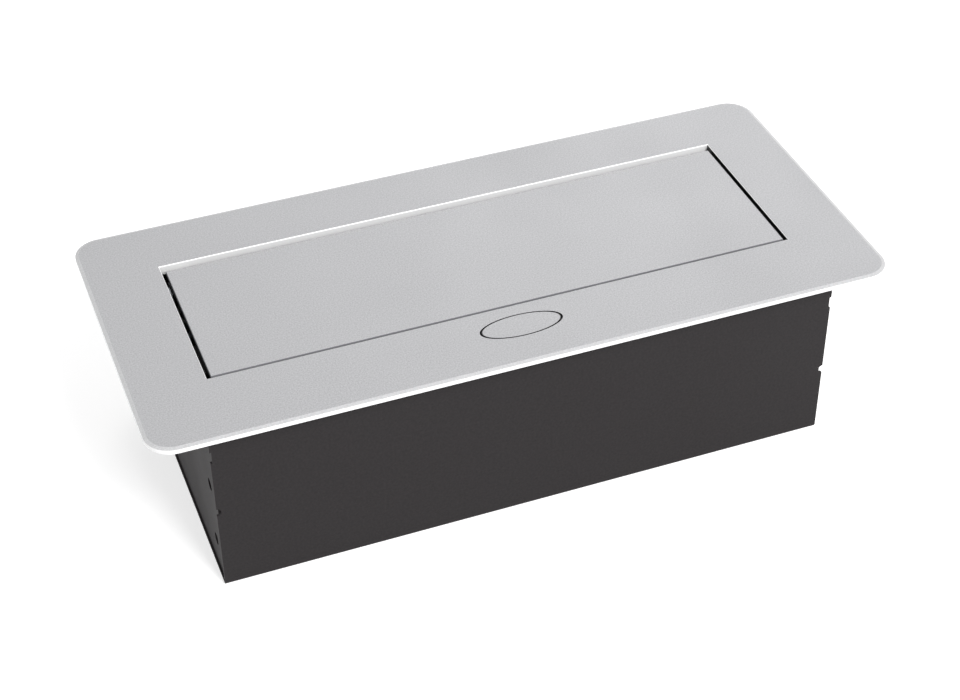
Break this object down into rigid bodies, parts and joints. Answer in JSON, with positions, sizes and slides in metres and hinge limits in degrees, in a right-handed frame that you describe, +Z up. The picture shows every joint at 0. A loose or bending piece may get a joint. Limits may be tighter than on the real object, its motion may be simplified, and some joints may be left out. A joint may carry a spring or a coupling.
{
  "type": "pop-up desk power socket",
  "caption": "Flush rectangular desk power socket: silver bezel over a dark steel box, push-button lid that swings up with a slanted row of outlets.",
  "frame": {"origin": "middle of the box bottom, where the part rests", "axes": "+X along the bezel's long side, -Y towards the push button, +Z up"},
  "size_m": [0.265, 0.12, 0.072],
  "materials": {
    "silver_lacquer": "satin silver lacquer with a fine metallic grain",
    "charcoal_powder_coat": "matt charcoal powder coat",
    "zinc_plated_steel": "bright zinc plate",
    "spring_steel": "drawn spring steel",
    "black_moulding": "moulded, fine matt texture",
    "natural_acetal": "moulded acetal",
    "brass": "plain brass",
    "nickel_plate": "nickel plate",
    "black_rubber": "soft black rubber",
    "insert_moulding": "moulded, satin"
  },
  "bodies": {
    "box": {"bezel": "silver_lacquer", "box_shell": "charcoal_powder_coat", "end_panel_left": "charcoal_powder_coat", "end_panel_right": "charcoal_powder_coat", "pivot_pin_left": "zinc_plated_steel", "pivot_pin_right": "zinc_plated_steel", "bezel_nuts": "zinc_plated_steel", "guide_nuts": "zinc_plated_steel", "damper_screws": "zinc_plated_steel", "latch_screws": "zinc_plated_steel", "cord_clamp_screws": "zinc_plated_steel", "earth_stud": "zinc_plated_steel", "earth_nut": "zinc_plated_steel", "torsion_spring_left": "spring_steel", "torsion_spring_right": "spring_steel", "button_spring": "spring_steel", "latch_spring": "spring_steel", "damper_housing": "black_moulding", "button_guide": "black_moulding", "cord_clamp": "black_moulding", "terminal_block": "natural_acetal", "lid_rest_pads": "black_rubber", "cable_grommet": "black_rubber", "terminal_screws": "brass"},
    "carrier": {"lid": "silver_lacquer", "cheek_left": "charcoal_powder_coat", "cheek_right": "charcoal_powder_coat", "socket_panel": "charcoal_powder_coat", "back_cover": "charcoal_powder_coat", "pivot_bush_left": "natural_acetal", "pivot_bush_right": "natural_acetal", "damper_sector": "natural_acetal", "lid_nuts": "zinc_plated_steel", "panel_rivets": "zinc_plated_steel", "sector_rivets": "zinc_plated_steel", "stop_bumpers": "black_rubber", "socket_insert_1": "insert_moulding", "socket_insert_2": "insert_moulding", "socket_insert_3": "insert_moulding", "earth_clip_1": "nickel_plate", "earth_clip_2": "nickel_plate", "earth_clip_3": "nickel_plate", "pin_contacts": "brass", "well_screws": "zinc_plated_steel", "usb_insert": "insert_moulding", "usb_ports": "nickel_plate"},
    "pinion": {"damper_pinion": "natural_acetal"},
    "push_button": {"button": "silver_lacquer"}
  },
  "joints": [
    {"name": "carrier_hinge", "type": "hinge", "parent": "box", "child": "carrier", "pos_m": [0, 0.027, 0.065], "axis": [-1, 0, 0], "range_deg": [0, 60], "deforming": ["torsion_spring_left", "torsion_spring_right", "latch_spring"]},
    {"name": "pinion_spin", "type": "hinge", "parent": "box", "child": "pinion", "pos_m": [-0.101, 0.027, 0.04], "axis": [-1, 0, 0], "range_deg": [-240, 0]},
    {"name": "button_press", "type": "slide", "parent": "box", "child": "push_button", "axis": [0, 0, -1], "range_m": [0, 0.0025], "stiffness_N_per_m": 300, "springref_m": -0.004, "deforming": ["button_spring"]}
  ],
  "couplings": [
    {"joint": "pinion_spin", "follows": "carrier_hinge", "ratio": -4}
  ]
}
